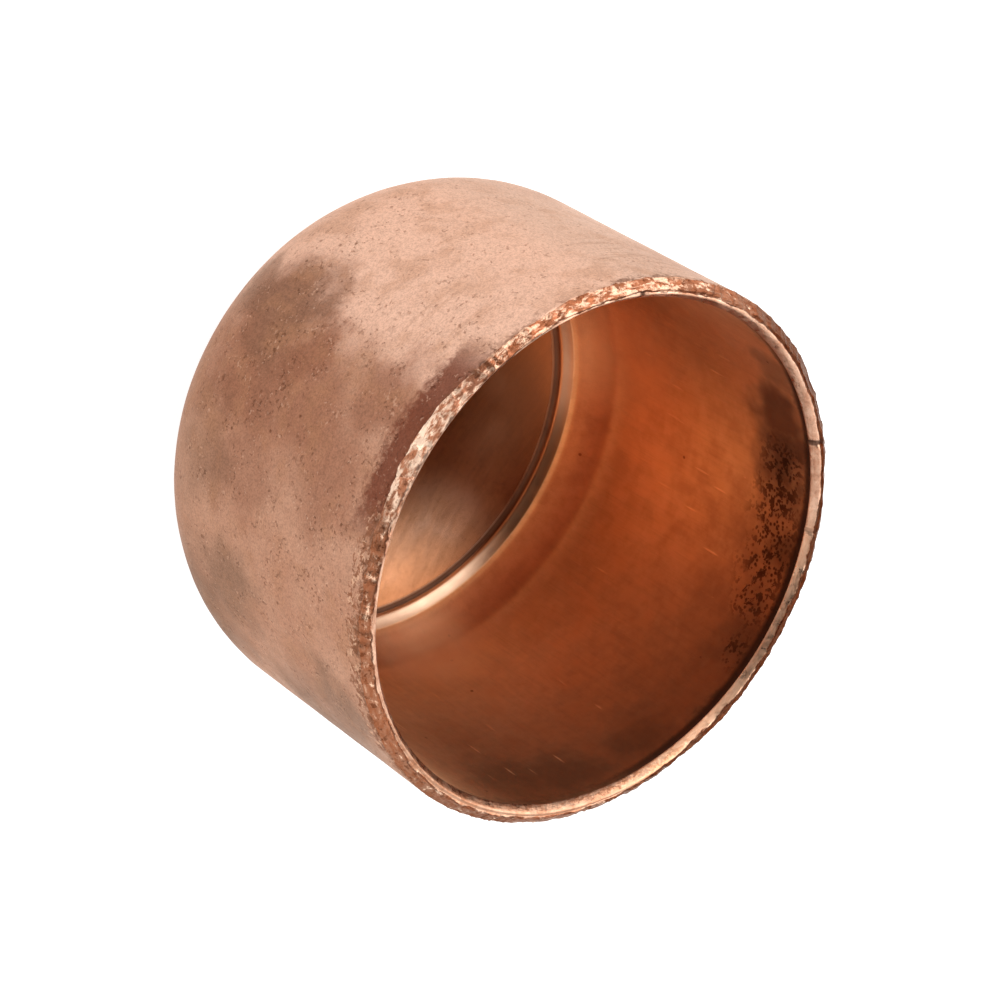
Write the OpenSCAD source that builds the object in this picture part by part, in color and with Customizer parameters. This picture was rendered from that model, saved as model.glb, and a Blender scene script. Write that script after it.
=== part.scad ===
// Drawn copper tube cap: a one-piece cup that solders over the end of a tube.
// Frame, in millimetres: the flat outside of the closed end rests on z = 0,
// and +Z runs along the socket's axis, out of the mouth.

/* [Socket] */
// Inside diameter of the socket, a sliding fit over the tube
bore_d = 35.05; // [34.98:0.01:35.15]
// Depth of the socket from the mouth to the stop ring at the bottom
socket_depth = 24.9; // [24.6:0.1:25.4]
// Diameter of the stop ring, where the inside corner meets the end
stop_d = 30.3; // [29.8:0.1:30.8]
// Radius of the inside corner between the socket and the stop ring
inside_corner_r = 7.55; // [7.2:0.05:7.9]

/* [Shell] */
// Overall length, closed end to mouth
overall_h = 28.8; // [28.6:0.1:30]
// Wall thickness at the mouth, where the shell is widest
mouth_wall = 1.36; // [1.3:0.01:1.5]
// How much the outside radius narrows from the mouth to the corner
shell_taper = 0.24; // [0:0.01:0.3]
// Radius of the outside corner between the shell and the closed end
corner_r = 9.65; // [9.2:0.05:10]

/* [Closed end] */
// Depth of the small step inside the stop ring
step_h = 0.35; // [0.2:0.05:0.6]
// How much the step draws in before it reaches the end
step_in = 0.16; // [0.1:0.02:0.3]
// Depth of the shallow dish pressed into the end, inside
dish_h = 1.7; // [0.5:0.1:2]

/* [Mouth edge] */
// Width of the sheared bevel round the outside of the mouth
bevel_w = 0.62; // [0.4:0.02:0.7]
// Height of the sheared bevel round the outside of the mouth
bevel_h = 0.7; // [0.3:0.05:0.9]
// Width of the rolled lead-in round the inside of the mouth
lead_w = 0.4; // [0.2:0.02:0.46]
// Height of the rolled lead-in round the inside of the mouth
lead_h = 0.6; // [0.3:0.05:0.9]

/* [Finish] */
// Colour of the bare copper
copper = "#B87B5E";

/* [Hidden] */
$fn = 96;

arc_steps = 14;
bore_r = bore_d / 2;
mouth_r = bore_r + mouth_wall;
shoulder_r = mouth_r - shell_taper;
stop_r = stop_d / 2;
stop_z = overall_h - socket_depth;

// The inside corner is an arc tangent to the socket that ends on the stop ring.
corner_drop = bore_r - stop_r;
corner_rise = sqrt(2 * inside_corner_r * corner_drop - pow(corner_drop, 2));
corner_sweep = asin(corner_rise / inside_corner_r);
socket_end_z = stop_z + corner_rise;

// The dish is a shallow arc across the end, lowest on the axis.
dish_edge_r = stop_r - step_in;
dish_edge_z = stop_z - step_h;
dish_r = (pow(dish_edge_r, 2) + pow(dish_h, 2)) / (2 * dish_h);
dish_sweep = asin(dish_edge_r / dish_r);
end_wall = dish_edge_z - dish_h;

assert(end_wall >= 1, "the closed end is thinner than the tube's own wall");
assert(bevel_w < mouth_wall - lead_w, "the bevel leaves no flat rim");

// Points of an arc about (cx, cz), from angle a to angle b
function arc(cx, cz, r, a, b, n = arc_steps) =
    [for (i = [0 : n]) let (t = a + (b - a) * i / n) [cx + r * cos(t), cz + r * sin(t)]];

// The solid that the outside of the cap bounds
module outside() {
    rotate_extrude()
        polygon(concat(
            [[0, 0]],
            arc(shoulder_r - corner_r, corner_r, corner_r, -90, 0),
            [[mouth_r, overall_h - bevel_h],
             [mouth_r - bevel_w, overall_h],
             [0, overall_h]]));
}

// The rounded bottom of the cavity, from the axis up to where the socket starts
module cavity_bottom() {
    rotate_extrude()
        polygon(concat(
            arc(0, end_wall + dish_r, dish_r, -90, -90 + dish_sweep),
            arc(bore_r - inside_corner_r, socket_end_z, inside_corner_r, -corner_sweep, 0),
            [[bore_r, socket_end_z + 0.02],
             [0, socket_end_z + 0.02]]));
}

// The straight socket, with its lead-in at the mouth
module socket() {
    translate([0, 0, socket_end_z])
        cylinder(r = bore_r, h = overall_h - socket_end_z + 1);
    translate([0, 0, overall_h - lead_h])
        cylinder(r1 = bore_r, r2 = bore_r + lead_w, h = lead_h);
    translate([0, 0, overall_h])
        cylinder(r = bore_r + lead_w, h = 1);
}

module cap_body() {
    color(copper)
        difference() {
            outside();
            cavity_bottom();
            socket();
        }
}

cap_body();
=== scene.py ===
import math

import bpy
from mathutils import Matrix, Vector, noise


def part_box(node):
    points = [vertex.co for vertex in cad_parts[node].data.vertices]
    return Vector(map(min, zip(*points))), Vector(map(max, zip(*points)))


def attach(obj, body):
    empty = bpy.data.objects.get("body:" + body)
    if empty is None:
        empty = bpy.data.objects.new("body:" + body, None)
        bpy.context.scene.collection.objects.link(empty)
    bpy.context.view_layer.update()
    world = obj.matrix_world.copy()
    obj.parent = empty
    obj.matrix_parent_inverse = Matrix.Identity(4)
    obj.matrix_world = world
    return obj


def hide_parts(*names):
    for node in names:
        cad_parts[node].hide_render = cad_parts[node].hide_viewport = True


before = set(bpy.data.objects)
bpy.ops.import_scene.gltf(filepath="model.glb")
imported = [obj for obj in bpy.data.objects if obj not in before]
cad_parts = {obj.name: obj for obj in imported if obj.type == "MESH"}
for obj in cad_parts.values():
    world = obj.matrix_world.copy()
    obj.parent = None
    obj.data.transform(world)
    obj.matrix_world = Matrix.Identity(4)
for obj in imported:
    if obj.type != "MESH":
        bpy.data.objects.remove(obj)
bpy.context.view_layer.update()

# ---------------------------------------------------------------- sizes (mm)
low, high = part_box("cap_body")
H = (high[2] - low[2]) * 1000           # overall length
MOUTH_R = (high[0] - low[0]) * 500      # outside radius at the mouth
SHOULDER_R = MOUTH_R - 0.24             # outside radius at the top of the outside corner
CORNER_R = 9.65                         # the outside corner
BORE_R = 17.525
STOP_R, STOP_Z = 15.15, H - 24.9        # the pressed shoulder that stops the tube
IN_R = 7.55                             # the inside corner
IN_DROP = BORE_R - STOP_R
IN_RISE = math.sqrt(2 * IN_R * IN_DROP - IN_DROP ** 2)
IN_SWEEP = math.asin(IN_RISE / IN_R)
SOCKET_Z = STOP_Z + IN_RISE             # where the straight socket begins
DISH_R, DISH_Z, DISH_H = STOP_R - 0.16, STOP_Z - 0.35, 1.7
BEVEL_W, BEVEL_H = 0.60, 0.70           # the torn bevel, outside the mouth
LEAD_W, LEAD_H = 0.40, 0.60             # the rolled lead-in, inside it
NEAR_W, NEAR_H = 0.26, 0.45             # how much wider and deeper that is on the near side
BORE_TOP = H - LEAD_H - NEAR_H          # the bore is plain below this
NICKS = (-147, 141, 120)                # azimuths of the nicks across the lip, deepest first
FINE_Z = H - 2.3                        # the mesh is finer above this
COARSE, FINE = 372, 1116                # points round the cup: three fine ones to a coarse one

# ---------------------------------------------------------------- camera
# The mouth's axis leans to the lower right of the frame and 45.4 degrees towards the lens.
LEAN_RIGHT, LEAN_UP = 0.59373, -0.37530
DIST = 281.4                            # from the lens back to the mouth, mm
MOUTH_RIGHT, MOUTH_UP = 0.024091, -0.013341
axis = Vector((LEAN_RIGHT, LEAN_UP, math.sqrt(1 - LEAN_RIGHT ** 2 - LEAN_UP ** 2)))
across = Vector((LEAN_UP, -LEAN_RIGHT, 0)).normalized()
turn = Matrix((across, axis.cross(across), axis))     # camera axes, seen from the row's frame
mouth_in_cam = Vector((MOUTH_RIGHT * DIST, MOUTH_UP * DIST, -DIST))
eye = Vector((0, 0, H)) - turn @ mouth_in_cam

cam_data = bpy.data.cameras.new("camera")
cam_data.sensor_width = 36
cam_data.lens = 158.4
cam_data.clip_start = 0.01
cam_data.clip_end = 20
cam = bpy.data.objects.new("camera", cam_data)
bpy.context.scene.collection.objects.link(cam)
cam.matrix_world = Matrix.Translation(eye * 0.001) @ turn.to_4x4()
bpy.context.scene.camera = cam


# ---------------------------------------------------------------- helpers
def smooth(a, b, x):
    t = min(max((x - a) / (b - a), 0.0), 1.0)
    return t * t * (3 - 2 * t)


def bump_at(x, centre, width):
    """1 at centre, falling to 0 at centre +- width; all in degrees."""
    d = abs((x - centre + 180) % 360 - 180)
    return 1 - smooth(0, width, d)


def ridge(x, centre, width):
    """A bell-shaped rise, 1 at centre."""
    return math.exp(-((x - centre) / width) ** 2)


def perlin(x, y, z, seed=0.0):
    return noise.noise(Vector((x + seed * 17.3, y - seed * 9.1, z + seed * 4.7)))


def perlin2(x, y, z, seed):
    """Two octaves of it."""
    return perlin(x, y, z, seed) + 0.5 * perlin(x * 2.03, y * 2.03, z * 2.03, seed + 1)


def steps(n):
    """The n even shares of the way to 1, 0 left out."""
    return [i / n for i in range(1, n + 1)]


def arc(cr, cz, rad, a, b, n):
    """n + 1 points of a circle's arc from angle a to angle b."""
    return [(cr + rad * math.cos(a + (b - a) * i / n), cz + rad * math.sin(a + (b - a) * i / n))
            for i in range(n + 1)]


# ---------------------------------------------------------------- the cup's section
# Rows run from the centre of the closed end, up the outside, over the mouth and down to the
# centre of the dish inside. Each row: radius, height, zone, fine or coarse. The mouth's bevel,
# land and lead-in differ round the cup, so their rows give a share of the way instead.
rows = []


def row(r, z, zone, fine=False):
    rows.append((r, z, zone, fine))


for r in (1.2, 2.4, 3.8, 5.2, 6.6, 7.9):
    row(r, 0.0, "out")
for r, z in arc(SHOULDER_R - CORNER_R, CORNER_R, CORNER_R, -math.pi / 2, 0, 22):
    row(r, z, "out")
slope = (MOUTH_R - SHOULDER_R) / (H - BEVEL_H - CORNER_R)
for z in [CORNER_R + (FINE_Z - CORNER_R) * t for t in steps(28)]:
    row(SHOULDER_R + slope * (z - CORNER_R), z, "out")
for z in [FINE_Z + (H - BEVEL_H - FINE_Z) * t for t in steps(15)]:
    row(SHOULDER_R + slope * (z - CORNER_R), z, "out", True)
for zone, n in (("bevel", 11), ("land", 6), ("lead", 8)):
    for t in steps(n):
        row(t, 0, zone, True)
for t in steps(4):
    row(BORE_R, BORE_TOP - 0.44 * t, "bore", True)
top = BORE_TOP - 0.44
for t in steps(34):
    row(BORE_R, top + (SOCKET_Z - top) * t, "bore")
# the inside corner runs out into the shoulder before its arc is complete
for r, z in arc(BORE_R - IN_R, SOCKET_Z, IN_R, 0, -0.81 * IN_SWEEP, 18)[1:]:
    row(r, z, "fillet")
# the narrow shoulder, then the step down to the end: how far out and up from the stop
for out, up in ((0.74, 0.78), (0.69, 0.725), (0.55, 0.59), (0.38, 0.445), (0.21, 0.315), (0.09, 0.23),
                (0.03, 0.16), (-0.01, 0.07), (-0.05, -0.02), (-0.11, -0.10), (-0.20, -0.145),
                (-0.33, -0.175)):
    row(STOP_R + out, STOP_Z + up, "step")
dish_rad = (DISH_R ** 2 + DISH_H ** 2) / (2 * DISH_H)
for r in (14.68, 14.35, 13.8, 13.0, 12.0, 10.8, 9.5, 8.1, 6.7, 5.3, 3.9, 2.5, 1.2):
    lift = 0.22 * smooth(8.0, 14.7, r)       # the dish runs up a little to the shoulder
    row(r, DISH_Z - DISH_H + dish_rad - math.sqrt(dish_rad ** 2 - r ** 2) + lift, "dish")


def bevel_at(deg):
    """Width and height of the torn bevel and of the rolled lead-in: deepest on the near side."""
    a = math.radians(deg)
    c, s = math.cos(a), math.sin(a)
    bevel_w = BEVEL_W + 0.10 * perlin(4 * c, 4 * s, 2.2) + 0.08 * perlin(15 * c, 15 * s, 2.9)
    bevel_h = BEVEL_H - 0.10 + 0.14 * perlin(4 * c, 4 * s, 7.1) + 0.12 * perlin(13 * c, 13 * s, 7.7)
    bevel_h += 0.42 * bump_at(deg, -90, 24)
    lip = bump_at(deg, -95, 85)
    far = bump_at(deg, 95, 70)
    return bevel_w, bevel_h, LEAD_W + NEAR_W * lip - 0.06 * far, LEAD_H + NEAR_H * lip - 0.10 * far


def ideal(r, z, zone, bevel):
    """A row's radius and height where the bevel and lead-in have the given widths and heights."""
    bevel_w, bevel_h, lead_w, lead_h = bevel
    if zone == "bevel":
        return MOUTH_R - bevel_w * r, H - bevel_h * (1 - r)
    if zone == "land":
        return MOUTH_R - bevel_w + (BORE_R + lead_w - MOUTH_R + bevel_w) * r, H
    if zone == "lead":
        return BORE_R + lead_w * (1 - r), H - lead_h * r ** 1.35
    if zone == "out" and z > FINE_Z:
        return r, FINE_Z + (z - FINE_Z) * (H - bevel_h - FINE_Z) / (H - BEVEL_H - FINE_Z)
    return r, z


def torn(share, r, z, zone, deg, bevel_h):
    """How far a point of the torn edge is pushed outward and upward."""
    a = math.radians(deg)
    c, s = math.cos(a), math.sin(a)
    x, y = 19 * c, 19 * s
    # tears run along the edge, a little aslant
    v = (MOUTH_R - r) + (H - z)
    slant = perlin(x * 0.35, y * 0.35, 3.3)
    tear = noise.ridged_multi_fractal(
        Vector((x * 0.42, y * 0.42, 3.6 * v + 3.0 * slant)), 0.8, 2.3, 5, 1.0, 2.0)
    chip = perlin(x * 1.9, y * 1.9, v * 4.0, 8)
    weight = {"bevel": 1.0, "land": 1 - smooth(0.1, 0.7, share), "lead": 0.0,
              "out": smooth(H - bevel_h - 0.5, H - bevel_h + 0.02, z)}[zone]
    amp = 0.09 + 0.01 * bump_at(deg, -72, 90)
    push = min(weight * (amp * (tear - 1.4) + 0.5 * amp * chip), 0.09)
    if zone == "out":
        return push, 0.0
    dr, dz = 0.0, 0.0
    if zone in ("bevel", "land"):
        dr, dz = 0.63 * push, 0.78 * push
        # the crack between the torn part and the burnished inner lip
        crack = ridge(r, BORE_R + 0.60 + 0.08 * perlin(x * 0.4, y * 0.4, 4.0), 0.07)
        dz -= 0.10 * crack * (0.35 + 0.65 * smooth(-0.25, 0.25, perlin(3 * c, 3 * s, 9.0)))
    if zone in ("land", "lead"):
        dz += 0.015 * chip * (1 - share if zone == "lead" else 1.0)
        for nick, wide, depth in zip(NICKS, (1.3, 1.0, 0.8), (0.14, 0.12, 0.06)):
            dz -= depth * bump_at(deg + 1.2 * (r - BORE_R), nick, wide)
    return dr, dz


def shaped(share, z, zone, deg, bevel):
    """Where a point of the ideal cup really lies: dents, waves and the torn edge."""
    r, z = ideal(share, z, zone, bevel)
    a = math.radians(deg)
    c, s = math.cos(a), math.sin(a)
    x, y = r * c, r * s
    # out of round, the same inside and out so that the wall keeps its thickness
    dr = (0.035 * math.sin(2 * a + 0.7) + 0.018 * math.sin(3 * a + 2.0)) * smooth(4, H, z)
    # the mouth isn't sheared quite flat
    dz = smooth(H - 2.2, H, z) * (0.045 * math.sin(2 * a - 0.6) + 0.05 * perlin(2.4 * c, 2.4 * s, 0.5))
    if zone == "out":
        dr += 0.05 * perlin2(x / 9, y / 9, z / 9, 1) * smooth(0.2, 3, z)
        dr += 0.012 * perlin2(x / 1.9, y / 1.9, z / 1.9, 2) * smooth(0.2, 3, z)
        if z < 1.5:
            dz += 0.02 + 0.02 * perlin(x / 3, y / 3, 0.0, 3)
    if zone in ("bore", "fillet", "step"):
        dr += 0.022 * perlin2(c * 2.2, s * 2.2, z / 14, 5)
    if zone in ("bore", "fillet"):
        # the draw rings where the socket starts to turn in
        dr += 0.02 * ridge(z, SOCKET_Z - 2.2, 0.30) - 0.015 * ridge(z, SOCKET_Z - 4.1, 0.30)
    if zone == "dish":
        dz += 0.02 * perlin2(x / 5, y / 5, 0.3, 6)
    if zone in ("bevel", "land", "lead") or (zone == "out" and z > FINE_Z):
        out, up = torn(share, r, z, zone, deg, bevel[1])
        dr += out
        dz += up
    return r + dr, z + dz


# ---------------------------------------------------------------- the cup's mesh
verts, rings = [], []
bevels = [bevel_at(360.0 * i / FINE) for i in range(FINE)]
for r, z, zone, fine in rows:
    count = FINE if fine else COARSE
    rings.append((len(verts), count, zone))
    for i in range(count):
        deg = 360.0 * i / count
        rr, zz = shaped(r, z, zone, deg, bevels[i * FINE // count])
        a = math.radians(deg)
        verts.append((rr * math.cos(a) * 0.001, rr * math.sin(a) * 0.001, max(zz, 0.0) * 0.001))

faces, face_zone = [], []


def join(lower, upper):
    """Faces between two neighbouring rings, which belong to the second one's zone."""
    (s0, n0, _), (s1, n1, zone) = lower, upper
    flip = n0 > n1
    if flip:
        (s0, n0), (s1, n1) = (s1, n1), (s0, n0)
    for i in range(n0):
        j = (i + 1) % n0
        if n0 == n1:
            group = [(s0 + i, s0 + j, s1 + j, s1 + i)]
        else:                                # one coarse step meets three fine ones
            f0, f1, f2, f3 = (s1 + (3 * i + k) % n1 for k in range(4))
            group = [(s0 + i, f1, f0), (s0 + i, s0 + j, f2, f1), (s0 + j, f3, f2)]
        for face in group:
            faces.append(tuple(reversed(face)) if flip else face)
            face_zone.append(zone)


def close(ring, z, flip):
    """A fan of triangles from a ring to a point on the axis."""
    start, count, zone = ring
    tip = len(verts)
    verts.append((0, 0, z * 0.001))
    for i in range(count):
        face = (tip, start + i, start + (i + 1) % count)
        faces.append((face[0], face[2], face[1]) if flip else face)
        face_zone.append(zone)


for lower, upper in zip(rings, rings[1:]):
    join(lower, upper)
close(rings[0], 0.01, True)
close(rings[-1], DISH_Z - DISH_H, False)

mesh = bpy.data.meshes.new("cap")
mesh.from_pydata(verts, [], faces)
SLOTS = {"out": 0, "bevel": 1, "land": 1, "lead": 1, "bore": 2, "fillet": 2, "step": 2, "dish": 3}
mesh.polygons.foreach_set("material_index", [SLOTS[z] for z in face_zone])
mesh.polygons.foreach_set("use_smooth", [True] * len(faces))
mesh.update()
cap = bpy.data.objects.new("cap", mesh)
bpy.context.scene.collection.objects.link(cap)


# ---------------------------------------------------------------- materials
def linear(r, g, b):
    """A colour picked as sRGB bytes, as the shader wants it."""
    def one(c):
        c /= 255
        return c / 12.92 if c <= 0.04045 else ((c + 0.055) / 1.055) ** 2.4
    return (one(r), one(g), one(b), 1.0)


EDGE_TINT = (0.88, 0.78, 0.71, 1)       # copper's tint at grazing angles
# Azimuths below are in degrees from +X. The near side of the cup is at -90.


class Graph:
    """A material's nodes, wired by short calls. Positions in it are in mm."""

    def __init__(self, name):
        self.mat = bpy.data.materials.new(name)
        self.mat.use_nodes = True
        self.tree = self.mat.node_tree
        self.tree.nodes.clear()
        self.bsdf = self.node("ShaderNodeBsdfPrincipled")
        self.link(self.bsdf.outputs[0], self.node("ShaderNodeOutputMaterial").inputs["Surface"])
        self.pos = self.scaled(1000, 1000, 1000, self.node("ShaderNodeTexCoord").outputs["Object"])

    def node(self, kind, **settings):
        n = self.tree.nodes.new(kind)
        for k, v in settings.items():
            setattr(n, k, v)
        return n

    def link(self, a, b):
        self.tree.links.new(a, b)

    def put(self, value, socket):
        if hasattr(value, "is_output"):
            self.link(value, socket)
        else:
            socket.default_value = value

    def math(self, op, a, b=None):
        n = self.node("ShaderNodeMath", operation=op)
        self.put(a, n.inputs[0])
        if b is not None:
            self.put(b, n.inputs[1])
        return n.outputs[0]

    def fold(self, op, parts):
        total = parts[0]
        for p in parts[1:]:
            total = self.math(op, total, p)
        return total

    def times(self, *parts):
        return self.fold("MULTIPLY", parts)

    def add(self, *parts):
        return self.fold("ADD", parts)

    def less(self, *parts):
        """The first part less all the others."""
        return self.fold("SUBTRACT", parts)

    def most(self, *parts):
        return self.fold("MAXIMUM", parts)

    def vector(self, op, a, b=None):
        n = self.node("ShaderNodeVectorMath", operation=op)
        self.link(a, n.inputs[0])
        if b is not None:
            n.inputs[1].default_value = b
        return n.outputs

    def mapped(self, src, location=(0, 0, 0), scale=(1, 1, 1)):
        n = self.node("ShaderNodeMapping")
        self.link(src, n.inputs["Vector"])
        n.inputs["Location"].default_value = location
        n.inputs["Scale"].default_value = scale
        return n.outputs[0]

    def scaled(self, x, y, z, src=None):
        return self.mapped(src or self.pos, scale=(x, y, z))

    def moved(self, by):
        """Positions shifted, so that a second noise of one scale isn't the first again."""
        return self.mapped(self.pos, location=(by, -by * 0.7, by * 1.3))

    def height(self):
        n = self.node("ShaderNodeSeparateXYZ")
        self.link(self.pos, n.inputs[0])
        return n.outputs[2]

    def axes(self):
        """x, y, z and the distance from the axis."""
        n = self.node("ShaderNodeSeparateXYZ")
        self.link(self.pos, n.inputs[0])
        x, y, z = n.outputs
        return x, y, z, self.math("SQRT", self.add(self.times(x, x), self.times(y, y)))

    def noise(self, scale, detail, rough, vec=None, distort=0.0):
        n = self.node("ShaderNodeTexNoise")
        self.link(vec or self.pos, n.inputs["Vector"])
        n.inputs["Scale"].default_value = scale
        n.inputs["Detail"].default_value = detail
        n.inputs["Roughness"].default_value = rough
        n.inputs["Distortion"].default_value = distort
        return n.outputs["Fac"]

    def ramp(self, x, lo, hi, a=0.0, b=1.0, kind="SMOOTHSTEP"):
        """Runs from a to b as x goes from lo to hi, easing in and out."""
        n = self.node("ShaderNodeMapRange", interpolation_type=kind)
        self.put(x, n.inputs["Value"])
        n.inputs["From Min"].default_value = lo
        n.inputs["From Max"].default_value = hi
        n.inputs["To Min"].default_value = a
        n.inputs["To Max"].default_value = b
        return n.outputs["Result"]

    def line(self, x, lo, hi, a, b):
        """A ramp without the easing."""
        return self.ramp(x, lo, hi, a, b, "LINEAR")

    def between(self, z, lo, lo_full, hi_full, hi):
        """1 from lo_full to hi_full, 0 outside lo and hi."""
        return self.times(self.ramp(z, hi, hi_full), self.ramp(z, lo, lo_full))

    def mix(self, fac, a, b):
        n = self.node("ShaderNodeMix", data_type="RGBA")
        self.put(fac, n.inputs["Factor"])
        self.put(a, n.inputs[6])
        self.put(b, n.inputs[7])
        return n.outputs[2]

    def shade(self, colour, fac, factor):
        """Multiplies a colour by a factor, one number or three, where fac is 1."""
        n = self.node("ShaderNodeMix", data_type="RGBA", blend_type="MULTIPLY")
        self.put(fac, n.inputs["Factor"])
        self.put(colour, n.inputs[6])
        n.inputs[7].default_value = (*factor, 1.0) if isinstance(factor, tuple) else (factor,) * 3 + (1.0,)
        return n.outputs[2]

    def dots(self, scale, radius, seed, stretch=(1, 1, 1)):
        """Specks about a random point of each cell: 1 at a speck's centre, 0 past its radius."""
        n = self.node("ShaderNodeTexVoronoi")
        self.link(self.mapped(self.pos, (seed * 3.7, seed * 5.1, seed * 2.3), stretch), n.inputs["Vector"])
        n.inputs["Scale"].default_value = scale
        return self.ramp(n.outputs["Distance"], radius, radius * 0.45)

    def patches(self, blobs, wobble=None, r=18.7):
        """The strongest of several soft blobs on the wall, each (azimuth, height, size, strength)."""
        shapes = []
        for deg, z, size, strength in blobs:
            a = math.radians(deg)
            d = self.vector("DISTANCE", self.pos, (r * math.cos(a), r * math.sin(a), z))["Value"]
            if wobble is not None:
                d = self.add(d, wobble)
            shapes.append(self.times(self.ramp(d, size, size * 0.25), strength))
        return self.most(*shapes)

    def facing(self, deg, lo, hi):
        """0 to 1 as the azimuth comes within hi, then lo, degrees of deg."""
        a = math.radians(deg)
        unit = self.vector("NORMALIZE", self.vector("MULTIPLY", self.pos, (1, 1, 0))[0])[0]
        dot = self.vector("DOT_PRODUCT", unit, (math.cos(a), math.sin(a), 0))["Value"]
        return self.ramp(dot, math.cos(math.radians(hi)), math.cos(math.radians(lo)))

    def finish(self, colour, rough, relief, strength, depth):
        """Joins the colour, roughness and bump (depth in metres) to the metal, and returns it."""
        n = self.node("ShaderNodeBump")
        n.inputs["Strength"].default_value = strength
        n.inputs["Distance"].default_value = depth
        self.link(relief, n.inputs["Height"])
        self.link(n.outputs[0], self.bsdf.inputs["Normal"])
        self.link(colour, self.bsdf.inputs["Base Color"])
        self.link(rough, self.bsdf.inputs["Roughness"])
        self.bsdf.inputs["Metallic"].default_value = 1.0
        self.bsdf.inputs["Specular Tint"].default_value = EDGE_TINT
        return self.mat


def bloom(g, broad, mid, wobble):
    """The outside's patina: pinkish copper, with brown and grey bloom, and painted light on the side towards
    -138 degrees. Also where it is brown.
    """
    colour = g.mix(g.ramp(broad, 0.38, 0.62), linear(186, 141, 116), linear(178, 130, 105))
    # lighter towards -138 degrees: painted light on the side the lamp falls on, mixed with a random tone
    painted_light = g.ramp(g.add(g.line(mid, 0.3, 0.7, -0.10, 0.10), g.facing(-138, 20, 54)), 0.10, 0.90)
    colour = g.mix(painted_light, colour, linear(214, 172, 149))
    colour = g.mix(g.times(g.facing(-164, 2, 28), 0.8), colour, linear(198, 164, 144))
    brown = g.patches([(-92, 14.6, 5.0, 0.95), (-85, 12, 7.5, 0.85), (-84, 17, 7, 0.75),
                       (-95, 10.5, 6.8, 0.9), (-76, 22, 6, 0.6), (-70, 14, 6, 0.55),
                       (-92, 23.5, 5, 0.75)], wobble)
    far_side = g.times(g.ramp(g.noise(0.10, 3, 0.6), 0.50, 0.66), g.facing(90, 70, 130), 0.75)
    brown = g.most(brown, far_side)
    colour = g.mix(brown, colour, linear(146, 97, 74))
    grey = g.patches([(-38, 12.5, 5, 0.7), (-99, 11.0, 5.2, 0.5), (-64, 9.5, 4.5, 0.45), (-24, 24.5, 5, 0.8),
                      (-8, 20, 9, 0.85), (-26, 8, 7, 0.8), (-100, 6.5, 4, 0.5)], wobble)
    colour = g.mix(grey, colour, linear(128, 94, 74))
    tan = g.times(g.ramp(g.noise(0.33, 3, 0.6, distort=0.4), 0.46, 0.70), 0.38)
    return g.mix(tan, colour, linear(170, 122, 90)), brown


def rim_scale(g, colour):
    """The dark stain and ragged brown scale under the torn edge. Also where the scale is."""
    z = g.height()
    ragged = g.noise(1.5, 5, 0.68, distort=0.6)
    scale_z = g.add(z, g.line(ragged, 0.2, 0.8, -1.3, 1.3))
    stain_z = g.add(z, g.line(ragged, 0.2, 0.8, -0.8, 0.8))
    stain = g.times(g.ramp(stain_z, H - 3.5, H - 2.4), g.facing(-90, 13, 25), 0.92)
    colour = g.mix(stain, colour, linear(112, 60, 43))
    scale = g.times(g.ramp(scale_z, H - 1.9, H - 1.5), g.facing(-40, 24, 42),
                    g.ramp(g.noise(1.1, 4, 0.7, distort=0.8), 0.43, 0.50))
    colour = g.mix(g.times(scale, 0.75), colour, linear(134, 80, 52))
    flecks = g.times(scale, g.ramp(g.noise(2.2, 3, 0.6, vec=g.moved(31), distort=0.4), 0.53, 0.58))
    colour = g.mix(g.times(flecks, 0.75), colour, linear(224, 180, 150))
    skirt = g.times(g.ramp(scale_z, H - 1.2, H - 0.5), g.ramp(g.noise(0.5, 3, 0.6), 0.4, 0.6, 0.15, 0.75))
    return g.mix(skirt, colour, linear(118, 76, 55)), scale


def copper_outside():
    """Dull pinkish copper, stained and pitted, with painted light on one side."""
    g = Graph("copper_outside")
    broad = g.noise(0.16, 3, 0.55)
    mid = g.noise(0.55, 4, 0.6)
    fine = g.noise(2.4, 4, 0.65)
    grain = g.noise(7.0, 3, 0.7)
    wobble = g.add(g.line(g.noise(0.42, 2, 0.5), 0.25, 0.75, -1.5, 1.5), g.line(fine, 0.3, 0.7, -0.6, 0.6))
    colour, brown = bloom(g, broad, mid, wobble)
    colour, scale = rim_scale(g, colour)
    # mottling, clusters of pits and glints, dark and bright specks, and rubbed marks
    colour = g.shade(colour, g.ramp(fine, 0.42, 0.62), 0.91)
    colour = g.shade(colour, g.ramp(grain, 0.44, 0.60), 0.80)
    cluster = g.ramp(g.noise(0.62, 3, 0.65), 0.45, 0.60, 0.15, 1.0)
    pits = g.times(g.ramp(g.noise(3.4, 2, 0.5, vec=g.moved(11)), 0.59, 0.67), cluster)
    colour = g.shade(colour, pits, (0.66, 0.60, 0.56))
    glints = g.times(g.ramp(g.noise(3.8, 2, 0.5, vec=g.moved(23)), 0.60, 0.68), cluster)
    colour = g.mix(g.times(glints, 0.35), colour, linear(214, 170, 144))
    specks = g.times(g.dots(0.55, 0.085, 3), g.ramp(broad, 0.40, 0.55, 0.2, 0.9))
    colour = g.shade(colour, specks, (0.50, 0.42, 0.36))
    colour = g.mix(g.times(g.dots(0.5, 0.05, 4), 0.35), colour, linear(226, 190, 166))
    scuffs = g.times(g.ramp(g.noise(1.0, 3, 0.6, vec=g.scaled(0.16, 0.16, 3.2)), 0.56, 0.61),
                     g.patches([(-158, 23.5, 6.0, 1.0), (-112, 22.5, 4.0, 0.5)], wobble), 0.8)
    colour = g.shade(colour, scuffs, (0.72, 0.66, 0.60))
    rough = g.add(g.line(mid, 0.3, 0.7, 0.40, 0.52), g.times(g.most(brown, scale), 0.08))
    relief = g.add(g.less(g.times(fine, 0.6), pits), g.times(glints, 0.5), g.times(grain, 0.25))
    relief = g.less(relief, g.times(specks, 0.8))
    return g.finish(colour, rough, relief, 0.8, 0.00005)


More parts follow.
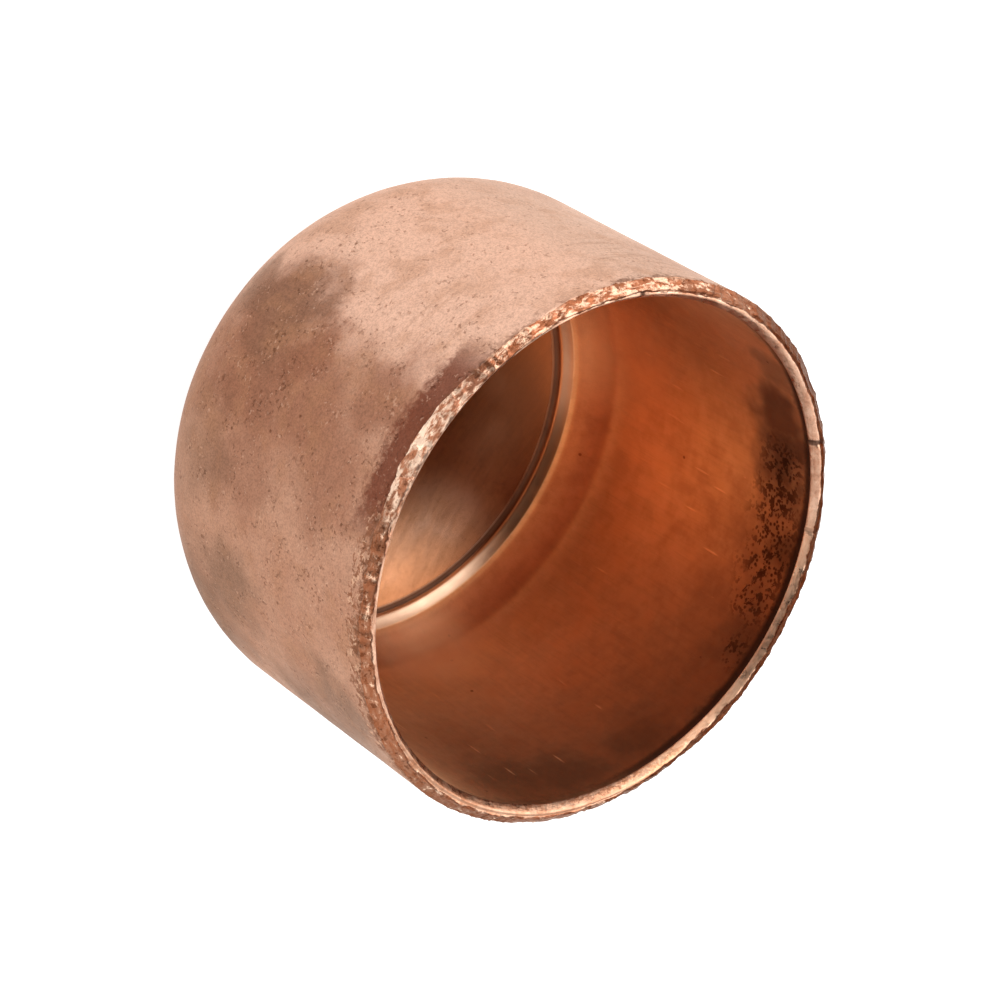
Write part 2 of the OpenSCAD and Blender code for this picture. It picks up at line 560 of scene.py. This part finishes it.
def flaked(g, x, y, z, radius):
    """Flakes that lie along the mouth's edge. The seam of their pattern falls in a nick."""
    a = math.radians(NICKS[1] - 180)
    along = g.math("ARCTAN2", g.less(g.times(y, math.cos(a)), g.times(x, math.sin(a))),
                   g.add(g.times(x, math.cos(a)), g.times(y, math.sin(a))))
    strip = g.node("ShaderNodeCombineXYZ")
    stretched = (g.times(along, 18.2 * 1.15), g.times(radius, 3.0), g.times(z, 3.0))
    for part, socket in zip(stretched, strip.inputs):
        g.link(part, socket)
    return g.noise(1.0, 4, 0.62, vec=strip.outputs[0], distort=0.5)


def edge_brown(g, z, ragged, flakes, far):
    """Where the torn part is brown: little where it tore cleanly, which round -90 degrees also paints in the
    highlight on the torn band, and all along its lower hem.
    """
    # bare copper where it tore cleanly; round -90 degrees this also stands in for the painted highlight on
    # the torn band
    bare_and_highlit = g.most(g.facing(-90, 8, 18), g.times(g.facing(-134, 14, 36), 0.7),
                   g.times(g.facing(46, 4, 14), 0.5))
    brown = g.add(g.times(g.add(ragged, flakes), 0.5), g.line(bare_and_highlit, 0, 1, 0.07, -0.08),
                  g.times(g.facing(15, 40, 62), 0.025), g.times(far, 0.10))
    hem = g.times(g.ramp(g.add(z, g.line(ragged, 0.3, 0.7, -0.25, 0.25)), H - 0.45, H - 0.62),
                  g.less(1.0, g.facing(-90, 8, 16)), 0.7)
    return g.most(g.ramp(brown, 0.44, 0.54), hem)


def worn_lip(g, radius):
    """The burnished inner lip: rosy, mottled, and fading into the bore's brown at the lowest part."""
    colour = g.mix(g.ramp(g.noise(0.8, 4, 0.6), 0.4, 0.62), linear(210, 166, 140), linear(184, 136, 110))
    colour = g.shade(colour, g.ramp(g.noise(4.0, 3, 0.7), 0.50, 0.64), 0.80)
    colour = g.mix(g.facing(84, 24, 46), colour, linear(232, 182, 148))
    colour = g.shade(colour, g.facing(18, 36, 56), (0.72, 0.64, 0.57))
    fade = g.less(radius, BORE_R, g.line(g.noise(3.6, 4, 0.75), 0.35, 0.65, -0.22, 0.22))
    fade = g.times(g.ramp(fade, 0.30, 0.08), g.facing(16, 30, 58), 0.8)
    return g.mix(fade, colour, linear(92, 58, 40))


def copper_edge():
    """The mouth's edge: bright torn copper, brown scale, and a burnished inner lip."""
    g = Graph("copper_edge")
    x, y, z, radius = g.axes()
    ragged = g.noise(1.3, 5, 0.68, distort=0.7)
    fine = g.noise(3.2, 4, 0.7)
    flakes = flaked(g, x, y, z, radius)
    far = g.facing(112, 56, 80)
    # the torn part reaches in to a line that wanders, and is widest where it was torn most
    wander = g.add(g.line(g.noise(0.5, 3, 0.6), 0.3, 0.7, -0.12, 0.12), g.times(fine, 0.10))
    reach = g.add(radius, wander, g.times(g.facing(88, 22, 50), 0.22))
    reach = g.less(reach, g.times(g.facing(-95, 40, 80), 0.14), g.times(g.facing(16, 24, 50), 0.16))
    torn_part = g.ramp(reach, BORE_R + 0.52, BORE_R + 0.64)
    colour = g.mix(g.ramp(flakes, 0.42, 0.58), linear(254, 218, 190), linear(190, 122, 87))
    dirt = g.mix(g.facing(-90, 60, 100), linear(112, 60, 36), linear(150, 97, 69))
    colour = g.mix(g.times(edge_brown(g, z, ragged, flakes, far), torn_part, 0.9), colour, dirt)
    colour = g.shade(colour, g.times(far, torn_part), (0.50, 0.38, 0.30))
    colour = g.shade(colour, g.times(g.facing(-134, 22, 44), torn_part), (0.63, 0.55, 0.51))
    colour = g.shade(colour, g.times(g.facing(-46, 20, 34), torn_part), (0.98, 0.88, 0.82))
    pocks = g.times(g.ramp(g.noise(2.6, 4, 0.7, vec=g.moved(5)), 0.55, 0.62), torn_part, 0.8)
    colour = g.shade(colour, pocks, (0.42, 0.32, 0.26))
    lip = g.times(g.ramp(reach, BORE_R + 0.62, BORE_R + 0.50), 0.85)
    colour = g.mix(lip, colour, worn_lip(g, radius))
    # the crack between the two, and the nicks across the lip
    crack = g.times(g.ramp(reach, BORE_R + 0.52, BORE_R + 0.60), g.ramp(reach, BORE_R + 0.70, BORE_R + 0.62),
                    g.ramp(g.noise(0.7, 3, 0.6, vec=g.moved(3)), 0.42, 0.55, 0.25, 1.0), 0.8)
    colour = g.mix(crack, colour, linear(78, 44, 30))
    nicks = g.most(g.facing(NICKS[0], 0.5, 1.1), g.facing(NICKS[1], 0.4, 0.9),
                   g.times(g.facing(NICKS[2], 0.2, 0.7), 0.5))
    nicks = g.times(nicks, g.ramp(radius, BORE_R + 0.9, BORE_R + 0.7), 0.85)
    colour = g.mix(nicks, colour, linear(66, 38, 28))
    relief = g.add(g.times(flakes, 1.1), g.times(fine, 0.35))
    relief = g.times(relief, g.ramp(torn_part, 0, 1, 0.2, 1.0))
    g.finish(colour, g.ramp(ragged, 0.35, 0.6, 0.26, 0.44), relief, 0.8, 0.00016)
    # freshly torn copper is grainy and scatters light
    fresh = g.times(torn_part, g.facing(-90, 10, 22))
    g.link(g.ramp(fresh, 0, 1, 1.0, 0.4), g.bsdf.inputs["Metallic"])
    return g.mat


def drawn(g, lanes, length):
    """Fine marks that run down the wall: noise squeezed round it and stretched along it."""
    return g.noise(1.0, 4, 0.6, vec=g.scaled(lanes, lanes, length))


def heat_marks_and_shade(g, colour, z, wobble):
    """Oxide below the mouth, painted shade high on the wall round 70 degrees, and a spattered patch on the
    far side. Also where the oxide and the spots are.
    """
    oxide = g.patches([(135, 25.8, 4.3, 0.95), (127, 26.0, 3.2, 0.5), (144, 25.4, 4.2, 0.95),
                       (158, 26.2, 3.0, 0.6), (112, 26.6, 2.6, 0.5), (90, 27.2, 3.4, 0.5),
                       (40, 25.0, 4.0, 0.6), (26, 24.0, 4.5, 0.55), (60, 25.6, 3.4, 0.5)],
                      g.line(g.noise(0.4, 2, 0.5), 0.3, 0.7, -1.0, 1.0), r=BORE_R)
    collar = g.times(g.ramp(g.add(z, g.times(wobble, 0.35)), H - 1.7, H - 0.5), 0.70)
    oxide = g.most(oxide, collar)
    colour = g.mix(g.times(oxide, 0.85), colour, linear(96, 55, 37))
    # painted shade on the wall round 70 degrees, deepening towards the mouth
    painted_wall_shade = g.times(g.ramp(g.add(z, g.times(wobble, 0.5)), 12.0, 28.5), g.facing(70, 42, 75))
    colour = g.shade(colour, painted_wall_shade, (0.42, 0.33, 0.28))
    pocks = g.most(g.ramp(g.noise(1.5, 3, 0.6, distort=0.5), 0.53, 0.58), g.dots(2.9, 0.48, 12))
    spots = g.times(pocks, g.ramp(g.noise(0.8, 3, 0.6), 0.36, 0.46),
                    g.patches([(131, 25.4, 3.2, 1), (124, 25.4, 3.5, 1), (117, 25.4, 3.8, 1),
                               (109, 25.6, 3.7, 1), (101, 25.9, 2.9, 0.9), (88, 26.6, 1.6, 0.8)],
                              g.times(wobble, 0.35), r=BORE_R))
    return g.mix(g.times(spots, 0.88), colour, linear(62, 33, 20)), oxide, spots


def corner_rings(g, colour, z):
    """Painted shade and highlights round the inside corner, a seam mark, and the step's painted shadow. Also
    where the shoulder and the step are.
    """
    # painted shade in the inside corner, from just above the shoulder to partway up the wall
    fillet = g.between(z, SOCKET_Z - 4.7, SOCKET_Z - 4.2, SOCKET_Z - 2.7, SOCKET_Z - 1.4)
    colour = g.shade(colour, fillet, (0.73, 0.63, 0.64))
    # deeper painted shade in the corner on the side round 108 degrees
    painted_corner_shade = g.between(z, SOCKET_Z - 4.6, SOCKET_Z - 4.4, SOCKET_Z - 2.4, SOCKET_Z - 1.4)
    colour = g.shade(colour, g.times(painted_corner_shade, g.facing(108, 34, 62)), (0.86, 0.66, 0.58))
    seam = g.between(z, SOCKET_Z - 2.8, SOCKET_Z - 2.3, SOCKET_Z - 2.1, SOCKET_Z - 1.7)
    colour = g.shade(colour, g.times(seam, 0.5), (0.76, 0.70, 0.66))
    # soft painted highlights on the lower wall, at 46 and 140 degrees
    painted_wall_highlight = g.patches([(46, 8.0, 5.0, 0.75), (140, 8.5, 7.0, 0.5)], r=BORE_R - 0.6)
    colour = g.mix(painted_wall_highlight, colour, linear(255, 216, 180))
    shoulder = g.ramp(z, STOP_Z + 0.74, STOP_Z + 0.66)
    # the shoulder: a cream painted highlight round 52 degrees and painted shade round 94 degrees, over its
    # own browner colour
    shoulder_highlight_and_shade = g.mix(g.facing(52, 22, 66), linear(196, 140, 106), linear(222, 184, 156))
    shoulder_highlight_and_shade = g.mix(g.times(g.facing(94, 10, 30), 0.9), shoulder_highlight_and_shade, linear(142, 88, 56))
    colour = g.mix(g.times(shoulder, 0.95), colour, shoulder_highlight_and_shade)
    step = g.most(g.ramp(z, STOP_Z + 0.05, STOP_Z - 0.07),
                  g.times(g.ramp(z, STOP_Z + 0.17, STOP_Z + 0.04), g.facing(118, 36, 56)))
    shadow = g.mix(g.facing(128, 14, 44), linear(78, 46, 32), linear(122, 82, 62))
    return g.mix(g.times(step, 0.9), colour, shadow), shoulder, step


def copper_inside():
    """Satin orange copper, drawn lengthwise and oxidised near the mouth, with painted shade and highlights
    on the wall and round the inside corner.
    """
    g = Graph("copper_inside")
    z = g.height()
    broad = g.noise(0.14, 3, 0.55)
    mid = g.noise(0.6, 4, 0.62)
    lines = drawn(g, 2.6, 0.16)
    threads = drawn(g, 9.0, 0.5)
    colour = g.mix(g.ramp(broad, 0.36, 0.64), linear(242, 196, 154), linear(232, 183, 140))
    colour = g.shade(colour, g.ramp(lines, 0.42, 0.66), 0.95)
    colour = g.shade(colour, g.ramp(threads, 0.48, 0.66), 0.95)
    colour = g.shade(colour, g.ramp(mid, 0.40, 0.66), (0.92, 0.88, 0.86))
    colour, oxide, spots = heat_marks_and_shade(g, colour, z, g.line(mid, 0.25, 0.75, -1.8, 1.8))
    # bright scratches down the wall, and odd dark specks
    scratch = g.times(g.dots(0.40, 0.16, 5, (4.0, 4.0, 0.42)),
                      g.ramp(g.noise(0.30, 2, 0.5, vec=g.moved(7)), 0.42, 0.48),
                      g.ramp(z, 8, 12), g.ramp(z, 25, 23))
    colour = g.mix(g.times(scratch, 0.75), colour, linear(244, 196, 152))
    colour = g.shade(colour, g.dots(0.42, 0.06, 6, (1, 1, 0.8)), (0.5, 0.42, 0.38))
    colour, shoulder, step = corner_rings(g, colour, z)
    foot = g.times(g.ramp(z, H - LEAD_H - 0.75, H - LEAD_H - 0.25), g.facing(108, 45, 75), 0.85)
    colour = g.mix(foot, colour, linear(58, 34, 28))       # the shadowed line below the lip
    rough = g.add(g.line(mid, 0.3, 0.7, 0.40, 0.50), g.times(oxide, 0.12))
    rough = g.add(g.less(rough, g.times(shoulder, 0.10)), g.times(step, 0.25))
    relief = g.add(g.times(lines, 0.4), g.times(threads, 0.25))
    relief = g.less(relief, g.times(scratch, 0.5), g.times(spots, 0.5))
    return g.finish(colour, rough, relief, 0.45, 0.00004)


def copper_end():
    """The end's inside face: darker and smoother, with faint marks of the punch, a painted pool of light
    towards 32 degrees and painted shade at its edge on that side.
    """
    g = Graph("copper_end")
    radius = g.axes()[3]
    mid = g.noise(0.5, 4, 0.6)
    fine = g.noise(3.0, 4, 0.65)
    turned = g.noise(1.0, 2, 0.5, vec=g.scaled(0.30, 1.6, 1.0))
    colour = g.mix(g.ramp(mid, 0.35, 0.65), linear(178, 114, 80), linear(160, 97, 66))
    # a painted pool of light on the side towards 32 degrees, then painted shade towards the edge there
    colour = g.mix(g.times(g.facing(32, 15, 60), g.ramp(radius, 6, 11)), colour, linear(246, 214, 190))
    colour = g.shade(colour, g.times(g.facing(40, 25, 60), g.ramp(radius, 12.4, 14.6)), (0.56, 0.52, 0.50))
    colour = g.shade(colour, g.ramp(turned, 0.42, 0.62), 0.86)
    colour = g.shade(colour, g.ramp(fine, 0.5, 0.65), 0.88)
    colour = g.mix(g.times(g.facing(150, 20, 60), g.ramp(radius, 5, 12), 0.6), colour, linear(216, 152, 112))
    rim = g.ramp(radius, DISH_R - 0.45, DISH_R - 0.12)
    shadow = g.mix(g.facing(128, 14, 44), linear(84, 50, 35), linear(128, 84, 62))
    colour = g.mix(g.times(rim, 0.7), colour, shadow)
    rough = g.add(g.line(mid, 0.3, 0.7, 0.13, 0.19), g.times(rim, 0.35))
    relief = g.add(g.times(turned, 0.5), g.times(fine, 0.2))
    return g.finish(colour, rough, relief, 0.25, 0.00004)


for material in (copper_outside(), copper_edge(), copper_inside(), copper_end()):
    mesh.materials.append(material)

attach(cap, "root")
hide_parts("cap_body")

# ---------------------------------------------------------------- floor and light
bpy.ops.mesh.primitive_plane_add(size=6, location=(0, 0, 0))
floor = bpy.context.object
floor.name = "floor"
white = Graph("floor_white")
white.bsdf.inputs["Base Color"].default_value = (0.35, 0.35, 0.35, 1)
white.bsdf.inputs["Roughness"].default_value = 0.9
white.bsdf.inputs["Emission Color"].default_value = (1, 1, 1, 1)
white.bsdf.inputs["Emission Strength"].default_value = 0.9
floor.data.materials.append(white.mat)

scene = bpy.context.scene
scene.view_settings.view_transform = "Standard"
world = bpy.data.worlds.new("studio")
scene.world = world
world.use_nodes = True
sky_tree = world.node_tree
background = sky_tree.nodes["Background"]
background.inputs["Color"].default_value = (1, 1, 1, 1)
sky = sky_tree.nodes.new("ShaderNodeTexCoord").outputs["Generated"]


def lobe(direction, lo, hi, a, b):
    """Brightness from a to b as the sky direction's dot with the given one goes from lo to hi."""
    d = sky_tree.nodes.new("ShaderNodeVectorMath")
    d.operation = "DOT_PRODUCT"
    sky_tree.links.new(sky, d.inputs[0])
    d.inputs[1].default_value = Vector(direction).normalized()
    m = sky_tree.nodes.new("ShaderNodeMapRange")
    m.interpolation_type = "SMOOTHSTEP"
    sky_tree.links.new(d.outputs["Value"], m.inputs["Value"])
    for k, v in (("From Min", lo), ("From Max", hi), ("To Min", a), ("To Max", b)):
        m.inputs[k].default_value = v
    return m.outputs["Result"]


# bright all round, brightest high on the left, dark where the photographer stands
strength = sky_tree.nodes.new("ShaderNodeMath")
strength.operation = "MULTIPLY"
sky_tree.links.new(lobe((-1.0, 0.04, 1.0), 0.42, 0.93, 1.3, 3.3), strength.inputs[0])
sky_tree.links.new(lobe((0.105, -1.0, 0.905), 0.74, 0.86, 1.0, 0.02), strength.inputs[1])
sky_tree.links.new(strength.outputs[0], background.inputs["Strength"])
